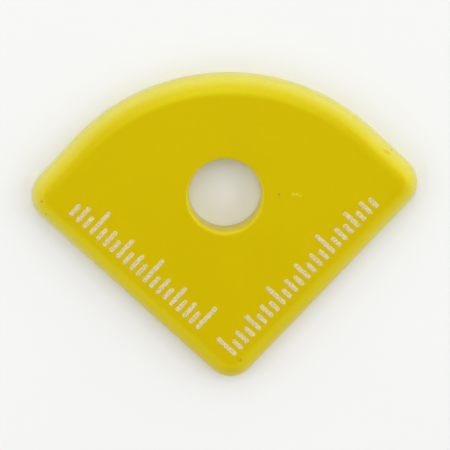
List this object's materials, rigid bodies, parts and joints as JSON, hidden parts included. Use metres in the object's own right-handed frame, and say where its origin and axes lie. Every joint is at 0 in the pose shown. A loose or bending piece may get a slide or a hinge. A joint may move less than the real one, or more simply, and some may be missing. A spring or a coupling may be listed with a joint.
{
  "type": "profile end cap",
  "caption": "Flat moulded end cap for a quarter-round slotted profile, with one large-radius corner, a softened front edge, a central fastener hole and two rows of ticks.",
  "frame": {"origin": "on the axis of the fastener hole, in the plane of the flat back face", "axes": "+Z along the hole, out of the front face; X and Y along the two full-length straight sides; the large-radius corner is at +X +Y"},
  "size_m": [0.0254, 0.0254, 0.0025],
  "materials": {
    "yellow_plastic": "satin moulded, opaque yellow",
    "cream_marking": "matt, foamed and pitted, off-white"
  },
  "bodies": {
    "root": {"cap_plate": "yellow_plastic", "left_graduations": "cream_marking", "right_graduations": "cream_marking"}
  },
  "joints": []
}
